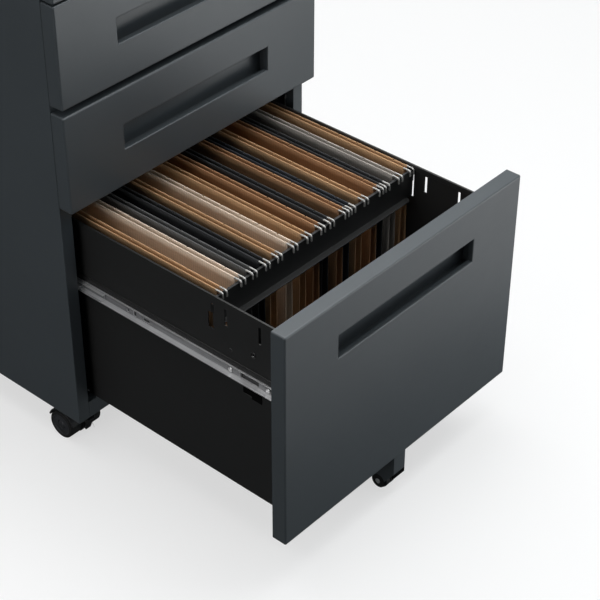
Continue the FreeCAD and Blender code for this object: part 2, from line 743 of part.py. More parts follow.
def write_box_drawer(drawer):
    write_front(drawer, front_skin(drawer))
    wall = side_wall(drawer)
    write(drawer.name + "_sides", wall, mirrored(wall).fuse(latch_stud(drawer)))
    write(drawer.name + "_pan", drawer_pan(drawer))
    write_slides(drawer)


# --- castors

def castor_plate(x, y):
    """Round fixing plate under the base with its stem."""
    underside = BODY_BOTTOM - PLATE_THICK
    plate = rod(PLATE_RADIUS, PLATE_THICK, (x, y, underside), ALONG_Z)
    stem = rod(STEM_RADIUS, STEM_LENGTH, (x, y, underside - STEM_LENGTH), ALONG_Z)
    return plate.fuse(stem)


def upper_part(solid, low):
    """What is left of a solid above a height."""
    box = solid.BoundBox
    return solid.common(block((box.XMin, box.XMax), (box.YMin, box.YMax), (low, box.ZMax)))


def stem_socket(x, y):
    return rod(STEM_RADIUS + RUNNING, BODY_BOTTOM, (x, y, BODY_BOTTOM - PLATE_THICK - STEM_LENGTH), ALONG_Z)


def castor_hood(x, y):
    """Plastic hood: a web between the wheels, a curved cover over them and the stem boss."""
    wheel_y = y + CASTOR_TRAIL
    half = WHEEL_OUTER - HOOD_INSET
    outer = rod(HOOD_OUTER_RADIUS, 2 * half, (x - half, wheel_y, WHEEL_RADIUS), ALONG_X)
    inner = rod(HOOD_INNER_RADIUS, 2 * half, (x - half, wheel_y, WHEEL_RADIUS), ALONG_X)
    cover = upper_part(outer.cut(inner), HOOD_COVER_LOW)
    web = rod(HOOD_WEB_RADIUS, 2 * HOOD_WEB, (x - HOOD_WEB, wheel_y, WHEEL_RADIUS), ALONG_X)
    boss = rod(HOOD_WEB, BOSS_TOP - BOSS_LOW, (x, y, BOSS_LOW), ALONG_Z)
    neck = block((x - HOOD_WEB, x + HOOD_WEB), (y, wheel_y), (HOOD_COVER_LOW, HOOD_NECK_TOP))
    hood = join([cover, upper_part(web, HOOD_WEB_LOW), boss, neck])
    axle_hole = rod(AXLE_RADIUS + PRESSED, 2 * half, (x - half, wheel_y, WHEEL_RADIUS), ALONG_X)
    return hood.cut(stem_socket(x, y)).cut(axle_hole)


def braked_hood(x, y):
    """Castor hood with two ears at its front that carry the brake pedal."""
    pivot_y = y + PEDAL_PIVOT_Y
    inner = PEDAL_HALF + EAR_GAP
    ear_y = (pivot_y - EAR_AHEAD, y + EAR_BACK)
    ear_z = (PEDAL_PIVOT_Z - EAR_BELOW, PEDAL_PIVOT_Z + EAR_ABOVE)
    ears = [block((x + side * inner, x + side * (inner + EAR)), ear_y, ear_z) for side in (-1, 1)]
    pin_hole = rod(PEDAL_PIN + RUNNING, 4 * inner, (x - 2 * inner, pivot_y, PEDAL_PIVOT_Z), ALONG_X)
    return join([castor_hood(x, y), *ears]).cut(stem_socket(x, y)).cut(pin_hole)


def brake_pedal(x, y):
    """Toe pedal in front of the wheels, on its own pivot pin."""
    tongue = prism([(x - PEDAL_HALF, y + dy, z) for dy, z in PEDAL_OUTLINE], (2 * PEDAL_HALF, 0, 0))
    pin_half = PEDAL_HALF + EAR_GAP + EAR
    pin = rod(PEDAL_PIN, 2 * pin_half, (x - pin_half, y + PEDAL_PIVOT_Y, PEDAL_PIVOT_Z), ALONG_X)
    return join([tongue, pin])


def castor_wheels(x, y):
    """Twin wheels on one axle."""
    place = FreeCAD.Vector(x, y + CASTOR_TRAIL, WHEEL_RADIUS)
    wheel = rod(WHEEL_RADIUS, WHEEL_OUTER - WHEEL_INNER, (-WHEEL_OUTER, 0, 0), ALONG_X)
    wheel = wheel.makeFillet(WHEEL_ROUND, round_edges(wheel))
    wheel = wheel.cut(rod(AXLE_RADIUS + RUNNING, WHEEL_OUTER, (-WHEEL_OUTER, 0, 0), ALONG_X))
    return [half.translated(place) for half in both_sides([wheel])]


def castor_axle(x, y):
    half = WHEEL_OUTER - AXLE_INSET
    return rod(AXLE_RADIUS, 2 * half, (x - half, y + CASTOR_TRAIL, WHEEL_RADIUS), ALONG_X)


def write_castors():
    places = {
        "front_left": (-CASTOR_X, CASTOR_FRONT_Y),
        "front_right": (CASTOR_X, CASTOR_FRONT_Y),
        "rear_left": (-CASTOR_X, CASTOR_REAR_Y),
        "rear_right": (CASTOR_X, CASTOR_REAR_Y),
    }
    write("castor_plates", *[castor_plate(*place) for place in places.values()])
    for name, place in places.items():
        write("castor_axle_" + name, castor_axle(*place))
        write("castor_wheels_" + name, *castor_wheels(*place))
        if name.startswith("front"):
            write("castor_hood_" + name, braked_hood(*place))
            write("brake_pedal_" + name, brake_pedal(*place))
        else:
            write("castor_hood_" + name, castor_hood(*place))


# --- lock

def lock_housing():
    """Barrel through the fascia with a collar on its face, bored for the plug."""
    face_y = -FRONT_THICK - LOCK_COLLAR
    barrel = rod(LOCK_BODY_RADIUS, -2 * SHEET - face_y, (LOCK_X, face_y, LOCK_Z), ALONG_Y)
    collar = rod(LOCK_COLLAR_RADIUS, LOCK_COLLAR, (LOCK_X, face_y, LOCK_Z), ALONG_Y)
    bore = rod(LOCK_PLUG_RADIUS + RUNNING, 2 * FRONT_THICK, (LOCK_X, face_y - BEYOND, LOCK_Z), ALONG_Y)
    return join([barrel, collar]).cut(bore)


def lock_plug():
    """Turning plug with a key slot."""
    face_y = -FRONT_THICK - LOCK_COLLAR
    plug = rod(LOCK_PLUG_RADIUS, CAM_Y - face_y, (LOCK_X, face_y, LOCK_Z), ALONG_Y)
    keyway = block(
        (LOCK_X - KEYWAY_HALF_WIDTH, LOCK_X + KEYWAY_HALF_WIDTH),
        (face_y - FIT, face_y + KEYWAY_DEPTH),
        (LOCK_Z - KEYWAY_HALF_HEIGHT, LOCK_Z + KEYWAY_HALF_HEIGHT),
    )
    return plug.cut(keyway)


def lock_cam():
    """Cam on the back of the plug with the pin that lowers the locking bar."""
    pin_x = LOCK_X + LOCK_THROW
    cam_y = (CAM_Y, CAM_Y + CAM_SHEET)
    disc = rod(CAM_RADIUS, CAM_SHEET, (LOCK_X, CAM_Y, LOCK_Z), ALONG_Y)
    arm = block((LOCK_X, pin_x), cam_y, (LOCK_Z - CAM_HALF, LOCK_Z + CAM_HALF))
    tip = rod(CAM_HALF, CAM_SHEET, (pin_x, CAM_Y, LOCK_Z), ALONG_Y)
    pin = rod(CAM_PIN, BAR_Y[1] - CAM_Y, (pin_x, CAM_Y, LOCK_Z), ALONG_Y)
    return join([disc, arm, tip, pin])


def locking_bar():
    """Vertical bar with a hook over each latch stud and a slotted arm at the cam."""
    pieces = [block(BAR_X, BAR_Y, (BAR_FOOT, BAR_HEAD))]
    for drawer in (FILE, MIDDLE, UPPER):
        hook_z = drawer.latch_z + STUD_RADIUS + HOOK_CLEARANCE
        pieces.append(block((WALL_X + HOOK_START, BAR_X[1]), BAR_Y, (hook_z, hook_z + HOOK_PLATE)))
    arm_start, arm_low, arm_high = BAR_ARM
    arm = block((LOCK_X + arm_start, BAR_X[1]), BAR_Y, (LOCK_Z + arm_low, LOCK_Z + arm_high))
    start, end, low, high = BAR_SLOT
    slot_y = (BAR_Y[0] - FIT, BAR_Y[1] + FIT)
    slot = block((LOCK_X + start, LOCK_X + end), slot_y, (LOCK_Z + low, LOCK_Z + high))
    pieces.append(arm.cut(slot))
    return join(pieces)


def write_lock():
    write("lock_housing", lock_housing())
    write("lock_plug", lock_plug())
    write("lock_cam", lock_cam())
    write("locking_bar", locking_bar())


os.makedirs("parts", exist_ok=True)
write_carcass()
write_box_drawer(UPPER)
write_box_drawer(MIDDLE)
write_file_drawer()
write_castors()
write_lock()
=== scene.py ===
import json
import math

import bmesh
import bpy
from mathutils import Matrix, Vector

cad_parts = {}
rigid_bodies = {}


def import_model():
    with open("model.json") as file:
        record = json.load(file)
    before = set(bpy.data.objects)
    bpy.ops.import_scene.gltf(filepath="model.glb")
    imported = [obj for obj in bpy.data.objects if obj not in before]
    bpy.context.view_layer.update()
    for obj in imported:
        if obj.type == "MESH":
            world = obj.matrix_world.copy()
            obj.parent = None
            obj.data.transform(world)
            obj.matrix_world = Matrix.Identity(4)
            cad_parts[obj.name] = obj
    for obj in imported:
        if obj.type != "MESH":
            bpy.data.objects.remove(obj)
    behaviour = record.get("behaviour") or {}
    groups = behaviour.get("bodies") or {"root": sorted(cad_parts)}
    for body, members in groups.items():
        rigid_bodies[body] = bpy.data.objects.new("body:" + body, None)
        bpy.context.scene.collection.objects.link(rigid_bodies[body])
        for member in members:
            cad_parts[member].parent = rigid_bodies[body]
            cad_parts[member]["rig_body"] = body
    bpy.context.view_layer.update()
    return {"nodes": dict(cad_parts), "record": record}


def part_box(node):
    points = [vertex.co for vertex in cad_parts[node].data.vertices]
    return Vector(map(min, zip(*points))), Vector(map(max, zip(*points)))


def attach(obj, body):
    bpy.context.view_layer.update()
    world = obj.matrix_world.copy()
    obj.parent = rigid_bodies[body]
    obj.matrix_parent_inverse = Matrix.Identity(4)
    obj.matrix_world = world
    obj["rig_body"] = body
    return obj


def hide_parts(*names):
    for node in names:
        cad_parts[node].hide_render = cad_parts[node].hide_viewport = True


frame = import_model()

MM = 0.001
SCENE = bpy.context.scene
SIDES = {"left": -1, "right": 1}
CORNERS = ("front_left", "front_right", "rear_left", "rear_right")
DRAWERS = ("file", "middle", "upper")

# Edges sharper than SHARP stay crisp; neighbouring faces within FLAT of each other become one.
SHARP = math.radians(38)
FLAT = math.radians(1)

# Vertices nearer than this are merged, in metres: in meshes from the CAD, and in those built here.
WELD = 1e-6
FINE_WELD = 1e-7


# --- shader helpers

class Surface:
    """A Principled material with short calls for the textures that drive it."""

    def __init__(self, name, color, roughness, metallic=0.0):
        self.material = bpy.data.materials.new(name)
        self.material.use_nodes = True
        self.tree = self.material.node_tree
        self.shader = self.tree.nodes["Principled BSDF"]
        self.set("Base Color", (*color, 1.0))
        self.set("Roughness", roughness)
        self.set("Metallic", metallic)

    def set(self, socket, value):
        self.shader.inputs[socket].default_value = value

    def link(self, source, target):
        self.tree.links.new(source, target)

    def node(self, kind, **inputs):
        made = self.tree.nodes.new(kind)
        for name, value in inputs.items():
            made.inputs[name.replace("_", " ")].default_value = value
        return made

    def coordinates(self, stretch):
        source = self.tree.nodes.new("ShaderNodeTexCoord")
        mapping = self.node("ShaderNodeMapping", Scale=stretch)
        self.link(source.outputs["Object"], mapping.inputs["Vector"])
        return mapping.outputs["Vector"]

    def noise(self, scale, detail=2.0, stretch=(1, 1, 1), roughness=0.5):
        made = self.node("ShaderNodeTexNoise", Scale=scale, Detail=detail, Roughness=roughness)
        self.link(self.coordinates(stretch), made.inputs["Vector"])
        return made.outputs["Fac"]

    def waves(self, scale, direction, distortion=0.0):
        made = self.node("ShaderNodeTexWave", Scale=scale, Distortion=distortion)
        made.bands_direction = direction
        self.link(self.coordinates((1, 1, 1)), made.inputs["Vector"])
        return made.outputs["Fac"]

    def between(self, factor, low, high):
        """A number that runs from low to high as the factor goes from 0 to 1."""
        made = self.tree.nodes.new("ShaderNodeMapRange")
        made.inputs["To Min"].default_value = low
        made.inputs["To Max"].default_value = high
        self.link(factor, made.inputs["Value"])
        return made.outputs["Result"]

    def ramp(self, factor, stops):
        made = self.tree.nodes.new("ShaderNodeValToRGB")
        elements = made.color_ramp.elements
        while len(elements) < len(stops):
            elements.new(0.5)
        for element, (place, color) in zip(elements, stops):
            element.position = place
            element.color = (*color, 1.0)
        self.link(factor, made.inputs["Fac"])
        return made.outputs["Color"]

    def times(self, first, second):
        """Two colours multiplied."""
        made = self.tree.nodes.new("ShaderNodeMix")
        made.data_type = "RGBA"
        made.blend_type = "MULTIPLY"
        made.inputs["Factor"].default_value = 1.0
        self.link(first, made.inputs[6])
        self.link(second, made.inputs[7])
        return made.outputs[2]

    def bump(self, height, strength, distance):
        made = self.node("ShaderNodeBump", Strength=strength, Distance=distance)
        self.link(height, made.inputs["Height"])
        previous = self.shader.inputs["Normal"]
        if previous.links:
            self.link(previous.links[0].from_socket, made.inputs["Normal"])
        self.link(made.outputs["Normal"], self.shader.inputs["Normal"])

    def drive(self, socket, source):
        self.link(source, self.shader.inputs[socket])


def shaded(color, factor):
    return tuple(channel * factor for channel in color)


# --- materials

def powder_coat(name, color, roughness, peel):
    """Satin powder coat: faint mottling, and the fine orange peel that the cured powder leaves."""
    paint = Surface(name, color, roughness)
    mottle = paint.noise(9.0, 3.0)
    paint.drive("Base Color", paint.ramp(mottle, [(0.3, shaded(color, 0.95)), (0.7, shaded(color, 1.05))]))
    paint.drive("Roughness", paint.between(paint.noise(60.0, 4.0), roughness - 0.05, roughness + 0.05))
    paint.bump(paint.noise(1100.0, 2.0), peel, 0.08 * MM)
    paint.bump(paint.noise(5200.0, 1.0), peel * 0.6, 0.02 * MM)
    return paint.material


def plated_steel(name, color, roughness, streak, metallic=1.0):
    """Zinc plated strip with rolling marks that run along Y; a dull plate is less than fully metallic."""
    steel = Surface(name, color, roughness, metallic)
    marks = steel.noise(700.0, 3.0, stretch=(1, streak, 1))
    steel.drive("Base Color", steel.ramp(marks, [(0.25, shaded(color, 0.82)), (0.75, shaded(color, 1.1))]))
    steel.drive("Roughness", steel.between(steel.noise(90.0, 3.0), roughness - 0.06, roughness + 0.1))
    steel.bump(marks, 0.25, 0.03 * MM)
    return steel.material


def moulded_plastic(name, color, roughness, gloss=0.3):
    """Spark-eroded nylon or rubber with a fine pebble grain."""
    nylon = Surface(name, color, roughness)
    nylon.drive("Roughness", nylon.between(nylon.noise(150.0, 3.0), roughness - 0.06, roughness + 0.08))
    shade = nylon.noise(40.0, 2.0)
    nylon.drive("Base Color", nylon.ramp(shade, [(0.3, shaded(color, 0.85)), (0.7, shaded(color, 1.15))]))
    nylon.bump(nylon.noise(2600.0, 2.0), 0.3, 0.06 * MM)
    nylon.set("Specular IOR Level", gloss)
    return nylon.material


def card(name, color):
    """Uncoated folder card: upright ribs, fibres and a slow change of tone."""
    board = Surface(name, color, 0.78)
    fibres = board.noise(1500.0, 4.0, stretch=(1, 0.35, 1), roughness=0.7)
    tone = board.noise(11.0, 3.0, stretch=(1, 0.5, 1))
    ribs = board.waves(115.0, "Y", 1.2)
    fibre_color = board.ramp(fibres, [(0.3, shaded(color, 0.88)), (0.7, shaded(color, 1.1))])
    tone_color = board.ramp(tone, [(0.3, (0.88, 0.88, 0.88)), (0.7, (1.0, 1.0, 1.0))])
    rib_color = board.ramp(ribs, [(0.0, (0.86, 0.86, 0.86)), (1.0, (1.0, 1.0, 1.0))])
    board.drive("Base Color", board.times(board.times(fibre_color, tone_color), rib_color))
    board.bump(ribs, 0.3, 0.12 * MM)
    board.bump(fibres, 0.2, 0.05 * MM)
    return board.material


PAINT = powder_coat("slate_powder_coat", (0.047, 0.055, 0.061), 0.36, 0.25)
BLACK = powder_coat("black_powder_coat", (0.011, 0.011, 0.011), 0.45, 0.3)
SLIDE = plated_steel("slide_zinc", (0.76, 0.76, 0.77), 0.36, 0.02, 0.6)
# A darker copy of the slide's zinc: painted shade for the slides' upright webs.
SLIDE_WEB_PAINTED_SHADE = plated_steel("slide_zinc_painted_shade", (0.33, 0.33, 0.335), 0.38, 0.02)
BRIGHT = plated_steel("bright_plate", (0.85, 0.85, 0.85), 0.38, 0.3)
HOOK = plated_steel("hook_plate", (0.50, 0.49, 0.475), 0.6, 0.3)
CHROME = plated_steel("lock_plate", (0.50, 0.50, 0.51), 0.28, 0.5)
HOOD = moulded_plastic("castor_nylon", (0.010, 0.010, 0.011), 0.55)
WHEEL = moulded_plastic("wheel_nylon", (0.022, 0.023, 0.026), 0.55)
TREAD = moulded_plastic("tread_rubber", (0.008, 0.008, 0.008), 0.75)
JET = moulded_plastic("jet_black_rubber", (0.0015, 0.0015, 0.0015), 0.85, 0.05)

CARD_COLORS = {
    "tan": (0.55, 0.33, 0.17),
    "brown": (0.42, 0.225, 0.11),
    "cream": (0.80, 0.66, 0.53),
    "grey": (0.12, 0.12, 0.12),
    "charcoal": (0.032, 0.034, 0.037),
    "slate": (0.030, 0.036, 0.045),
    "pale": (0.46, 0.42, 0.38),
}
CARDS = {name: card("card_" + name, color) for name, color in CARD_COLORS.items()}


# --- mesh helpers

def add_loft(mesh, sections):
    """A closed skin through sections of the same number of points, with both ends capped."""
    rings = [[mesh.verts.new(Vector(point)) for point in section] for section in sections]
    count = len(rings[0])
    for near, far in zip(rings, rings[1:]):
        for i in range(count):
            j = (i + 1) % count
            mesh.faces.new((near[i], near[j], far[j], far[i]))
    mesh.faces.new(list(reversed(rings[0])))
    mesh.faces.new(rings[-1])


def arc(centre, radius, start, end, steps):
    """Points of a profile on a circle, from one angle to another in degrees."""
    points = []
    for k in range(steps + 1):
        angle = math.radians(start + (end - start) * k / steps)
        points.append((centre[0] + radius * math.cos(angle), centre[1] + radius * math.sin(angle)))
    return points


def add_lathe(mesh, profile, centre, segments):
    """A profile of (along X, radius) turned about the X axis through a centre; ends at radius 0 close."""
    rings = []
    for along, radius in profile:
        if radius < FINE_WELD:
            rings.append([mesh.verts.new(Vector(centre) + Vector((along, 0, 0)))])
            continue
        ring = []
        for k in range(segments):
            angle = 2 * math.pi * k / segments
            offset = Vector((along, radius * math.cos(angle), radius * math.sin(angle)))
            ring.append(mesh.verts.new(Vector(centre) + offset))
        rings.append(ring)
    for first, second in zip(rings, rings[1:]):
        for k in range(segments):
            corners = [first[k % len(first)], first[(k + 1) % len(first)],
                       second[(k + 1) % len(second)], second[k % len(second)]]
            unique = list(dict.fromkeys(corners))
            if len(unique) > 2:
                mesh.faces.new(unique)


def mark_edges(mesh, fine, special=None):
    """Gives every sharp edge its share of the bevel: all of it where special(edge) is true, else fine."""
    share = mesh.edges.layers.float.new("bevel_weight_edge")
    for edge in mesh.edges:
        if edge.is_manifold and edge.calc_face_angle() > SHARP:
            edge[share] = 1.0 if special and special(edge) else fine


FLAT_FACE_WEIGHT = 80


def soften(obj, width, segments):
    """Rounds the marked edges and keeps the flat faces flat, then applies both."""
    bevel = obj.modifiers.new("bevel", "BEVEL")
    bevel.width = width
    bevel.segments = segments
    bevel.limit_method = "WEIGHT"
    bevel.use_clamp_overlap = False
    weighted = obj.modifiers.new("weighted", "WEIGHTED_NORMAL")
    weighted.keep_sharp = True
    weighted.weight = FLAT_FACE_WEIGHT
    bpy.context.view_layer.update()
    evaluated = obj.evaluated_get(bpy.context.evaluated_depsgraph_get())
    finished = bpy.data.meshes.new_from_object(evaluated)
    obj.modifiers.clear()
    obj.data = finished


def piece(name, mesh, material, body, bevel=0.0, segments=2, replaces=()):
    """Turns a bmesh into a finished piece that rides on its body."""
    bmesh.ops.recalc_face_normals(mesh, faces=mesh.faces)
    data = bpy.data.meshes.new(name)
    mesh.to_mesh(data)
    mesh.free()
    data.shade_smooth()
    data.set_sharp_from_angle(angle=SHARP)
    obj = bpy.data.objects.new(name, data)
    SCENE.collection.objects.link(obj)
    if bevel:
        soften(obj, bevel, segments)
    obj.data.materials.clear()
    obj.data.materials.append(material)
    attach(obj, body)
    if replaces:
        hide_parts(*replaces)
    return obj


def body_of(node):
    return frame["nodes"][node]["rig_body"]


def dressed(node, material, bevel, segments=2, rim=None, rim_bevel=0.0):
    """A CAD part with its flat faces merged and its cut edges broken, as folded sheet has them."""
    mesh = bmesh.new()
    mesh.from_mesh(frame["nodes"][node].data)
    bmesh.ops.remove_doubles(mesh, verts=mesh.verts, dist=WELD)
    bmesh.ops.dissolve_limit(
        mesh, angle_limit=FLAT, use_dissolve_boundaries=False,
        verts=mesh.verts, edges=mesh.edges, delimit={"NORMAL"},
    )
    widest = max(bevel, rim_bevel)
    mark_edges(mesh, bevel / widest, rim)
    return piece(node + "_dressed", mesh, material, body_of(node), widest, segments, (node,))


# --- parts that keep their CAD shape

# How far the edges are broken: on folded sheet, on thin strip and screws, and on mouldings.
SHEET_EDGE = 0.25 * MM
STRIP_EDGE = 0.2 * MM
MOULDED_EDGE = 0.6 * MM

FINISH = {
    "body_paint": (PAINT, SHEET_EDGE),
    "drawer_steel": (BLACK, SHEET_EDGE),
    "slide_steel": (SLIDE, STRIP_EDGE),
    "fastener_steel": (BRIGHT, STRIP_EDGE),
    "castor_plastic": (HOOD, MOULDED_EDGE),
    "lock_metal": (CHROME, SHEET_EDGE),
}

# A slide's face belongs to its web, which is given painted shade, when its normal points this much along X.
WEB_FACING = 0.9


def plain_parts():
    """Every CAD part that keeps its own shape, finished by its material slot."""
    for subpart in frame["record"]["subparts"]:
        node, slot = subpart["node"], subpart["material_slot"]
        if slot in FINISH and not node.endswith("_front_skin"):
            material, bevel = FINISH[slot]
            made = dressed(node, material, bevel)
            if node.endswith(("_slide_rails", "_slide_runners")):
                paint_shade_on_webs(made)


def paint_shade_on_webs(rails):
    """The upright webs of the slides get a darker copy of the zinc: painted shade, while the up-facing
    flanges stay bright.
    """
    rails.data.materials.append(SLIDE_WEB_PAINTED_SHADE)
    for face in rails.data.polygons:
        if abs(face.normal.x) > WEB_FACING:
            face.material_index = 1


# --- drawer fronts

FRONT_EDGE = 0.3 * MM
FRONT_SEGMENTS = 3
FACE_EDGE = 1.0 * MM
FACE_TOLERANCE = 0.01 * MM


def fronts():
    """Front skins: every edge that lies in the face is rounded more than the rest."""
    for drawer in DRAWERS:
        node = drawer + "_front_skin"
        face_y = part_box(node)[0].y
        dressed(node, PAINT, FRONT_EDGE, FRONT_SEGMENTS,
                lambda edge: on_face(edge, face_y), FACE_EDGE)


def on_face(edge, face_y):
    """True for an edge that lies in the plane of a drawer front's face."""
    return all(abs(vertex.co.y - face_y) < FACE_TOLERANCE for vertex in edge.verts)


# --- castors

WHEEL_SEGMENTS = 48
TREAD_DEPTH = 3.6 * MM
TREAD_ROUND = 1.6 * MM
TREAD_STEPS = 5

# The disc reaches into the tyre by its overlap, and its faces are set in from the tyre's.
DISC_OVERLAP = 0.1 * MM
DISC_INSET = 0.3 * MM

# The raised rim: how far its crest is set in, and how far its corners lie below the disc's edge.
RIM_INSET = 0.1 * MM
RIM_CREST = 0.5 * MM
RIM_FALL = 1.2 * MM
RIM_FOOT = 2.0 * MM

# The hub: a low collar and a groove round a domed cap. The collar's radii are added to the hub's.
HUB_RADIUS = 5.2 * MM
HUB_RECESS = 1.1 * MM
COLLAR_OUTSIDE = 1.6 * MM
COLLAR_CREST = 0.8 * MM
COLLAR_INSIDE = 0.2 * MM
COLLAR_HEIGHT = 0.4 * MM
GROOVE_DEPTH = 0.5 * MM
DOME_HEIGHT = 2.1 * MM
DOME_INSET = 2.2 * MM
DOME_STEPS = 6

# The space between the two wheels of a castor.
CASTOR_GAP = 12.6 * MM
TIP_CASTOR_GAP = 0.6 * MM


def tread_profile(inner, outer, radius):
    """Section of the soft tyre, from its inner shoulder round to its outer one."""
    low = radius - TREAD_DEPTH
    crown = radius - TREAD_ROUND
    left = arc((inner + TREAD_ROUND, crown), TREAD_ROUND, 180, 90, TREAD_STEPS)
    right = arc((outer - TREAD_ROUND, crown), TREAD_ROUND, 90, 0, TREAD_STEPS)
    return [(inner, low), *left, *right, (outer, low)]


def disc_profile(inner, outer, radius):
    """Section of the wheel's disc: recessed outer face, raised rim and a domed hub cap."""
    rim = radius - TREAD_DEPTH + DISC_OVERLAP
    face = outer - HUB_RECESS
    cap = arc((outer - DOME_INSET, 0.0), DOME_HEIGHT, 90, 0, DOME_STEPS)
    dome = [(along, rise * HUB_RADIUS / DOME_HEIGHT) for along, rise in cap]
    dome[-1] = (dome[-1][0], 0.0)
    return [
        (inner + DISC_INSET, 0.0),
        (inner + DISC_INSET, rim),
        (outer - DISC_INSET, rim),
        (outer - RIM_INSET, rim - RIM_CREST),
        (outer - DISC_INSET, rim - RIM_FALL),
        (face, rim - RIM_FOOT),
        (face, HUB_RADIUS + COLLAR_OUTSIDE),
        (face + COLLAR_HEIGHT, HUB_RADIUS + COLLAR_CREST),
        (face - GROOVE_DEPTH, HUB_RADIUS + COLLAR_INSIDE),
        *dome,
    ]


def wheel_pair(name, node, gap, discs, treads):
    """Two wheels on one axle, mirrored about the middle of a CAD node; gap is the space between them."""
    low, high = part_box(node)
    centre = (low + high) / 2
    radius = (high.z - low.z) / 2
    half = (high.x - low.x) / 2
    body = body_of(node)
    first = None
    for label, profile, material in (("disc", disc_profile, discs), ("tread", tread_profile, treads)):
        mesh = bmesh.new()
        points = profile(gap / 2, half, radius)
        add_lathe(mesh, points, centre, WHEEL_SEGMENTS)
        add_lathe(mesh, [(-along, r) for along, r in reversed(points)], centre, WHEEL_SEGMENTS)
        made = piece(f"{name}_{label}", mesh, material, body)
        first = first or made
    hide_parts(node)


def castors():
    """Wheels of the four twin castors, and of the small one under the file drawer's front."""
    for corner in CORNERS:
        wheel_pair("castor_wheel_" + corner, "castor_wheels_" + corner, CASTOR_GAP, WHEEL, TREAD)
    wheel_pair("tip_castor_roller", "tip_castor_wheel", TIP_CASTOR_GAP, TREAD, TREAD)


# --- small things on the file drawer

# The left wall's box ends at its bead, which stands this far proud of the wall.
BEAD_PROUD = 1.0 * MM

# Places on the left wall: behind its front end, and below its top or above its bottom edge.
COLLAR_PLACE = 50.3 * MM
COLLAR_DROP = 48.6 * MM
DIMPLE_PLACE = 82.3 * MM
DIMPLE_DROP = 58.3 * MM
RIVET_PLACE = 315.0 * MM
RIVET_RISE = 1.9 * MM

# Turned profiles in millimetres: along X, where the left wall's outside is negative, and the radius.
COLLAR = ((0.0, 2.5), (-0.5, 2.6), (-0.7, 3.0), (-0.5, 3.5), (0.0, 3.7))
DIMPLE = ((-0.1, 0.0), (-0.35, 1.2), (-0.5, 1.9), (0.0, 2.4))
RIVET = ((-0.9, 0.0), (-0.8, 0.6), (-0.4, 1.1), (0.0, 1.3))
ROOT_DEPTH = 0.4
TURNED_SEGMENTS = 32


def add_turned(name, profile, centre, material):
    """A small turned piece on the outside of the file drawer's left wall, rooted in the sheet."""
    mesh = bmesh.new()
    root = [(ROOT_DEPTH, profile[-1][1]), (ROOT_DEPTH, profile[0][1])]
    closed = [(along * MM, radius * MM) for along, radius in [*profile, *root]]
    if profile[0][1] > 0:
        closed.append(closed[0])
    add_lathe(mesh, closed, centre, TURNED_SEGMENTS)
    bmesh.ops.remove_doubles(mesh, verts=mesh.verts, dist=FINE_WELD)
    piece(name, mesh, material, "file_drawer")


def wall_details():
    """A turned collar round the wall's small hole, a pressed dimple beside it and a rivet at the foot."""
    low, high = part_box("file_side_left")
    wall = low.x + BEAD_PROUD
    collar_at = (wall, low.y + COLLAR_PLACE, high.z - COLLAR_DROP)
    dimple_at = (wall, low.y + DIMPLE_PLACE, high.z - DIMPLE_DROP)
    rivet_at = (wall, low.y + RIVET_PLACE, low.z + RIVET_RISE)
    add_turned("wall_hole_collar", COLLAR, collar_at, BLACK)
    add_turned("wall_dimple", DIMPLE, dimple_at, BLACK)
    add_turned("wall_rivet", RIVET, rivet_at, BRIGHT)


# The catch's corners: behind the wall's front end, and below its top edge.
CATCH_FRONT = 39.0 * MM
CATCH_STEP = 53.0 * MM
CATCH_REAR = 65.0 * MM
CATCH_TOP = 97.0 * MM
CATCH_SHELF = 104.6 * MM
CATCH_FOOT = 108.0 * MM
CATCH_INSET = 0.2 * MM
CATCH_THICK = 1.2 * MM
CATCH_EDGE = 0.3 * MM


def slide_catch():
    """Stepped plastic plate over the window under the left slide, taken to be what frees the drawer."""
    low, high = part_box("file_side_left")
    front, step, rear = low.y + CATCH_FRONT, low.y + CATCH_STEP, low.y + CATCH_REAR
    top, shelf, foot = high.z - CATCH_TOP, high.z - CATCH_SHELF, high.z - CATCH_FOOT
    outline = [(rear, top), (front, top), (front, foot), (step, foot), (step, shelf), (rear, shelf)]
    outer = low.x + CATCH_INSET
    mesh = bmesh.new()
    add_loft(mesh, [[(x, y, z) for y, z in outline] for x in (outer, outer + CATCH_THICK)])
    mark_edges(mesh, 1.0)
    piece("slide_release_catch", mesh, JET, "file_drawer", CATCH_EDGE)


# Cap on a cheek in millimetres: out from the cheek, and the radius.
TIP_CAP = ((0.0, 2.3), (0.5, 2.5), (0.7, 7.6), (0.5, 8.6), (0.0, 9.2))
TIP_CAP_SEGMENTS = 40

# Section of the pad in millimetres: behind the bracket's face, and above the foot of its plate.
PAD_SECTION = ((0.0, 0.1), (0.0, -6.4), (0.5, -7.2), (1.2, -7.5), (2.0, -7.2), (2.5, -6.4), (2.5, 0.1))
PAD_INSET = 0.2 * MM
PAD_EDGE = 0.3 * MM

# Height of the foot of the bracket's plate above the floor.
BRACKET_FOOT = 31.7 * MM


def tip_castor_caps():
    """Moulded caps over the outsides of the small castor's cheeks."""
    wheel_low, wheel_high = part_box("tip_castor_wheel")
    centre = (wheel_low + wheel_high) / 2
    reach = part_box("tip_castor_bracket")[1].x - centre.x
    for label, side in SIDES.items():
        closed = [*TIP_CAP, TIP_CAP[0]]
        profile = [(side * (reach + along * MM), radius * MM) for along, radius in closed]
        mesh = bmesh.new()
        add_lathe(mesh, profile, centre, TIP_CAP_SEGMENTS)
        bmesh.ops.remove_doubles(mesh, verts=mesh.verts, dist=FINE_WELD)
        piece(f"tip_castor_cap_{label}", mesh, TREAD, "file_drawer")


def tip_bracket_pad():
    """Jet-black strip along the foot of the small castor's bracket."""
    low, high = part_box("tip_castor_bracket")
    outline = [(low.y + back * MM, BRACKET_FOOT + up * MM) for back, up in PAD_SECTION]
    mesh = bmesh.new()
    add_loft(mesh, [[(x, y, z) for y, z in outline] for x in (low.x + PAD_INSET, high.x - PAD_INSET)])
    mark_edges(mesh, 1.0)
    piece("tip_bracket_pad", mesh, JET, "file_drawer", PAD_EDGE)


# --- hanging folders

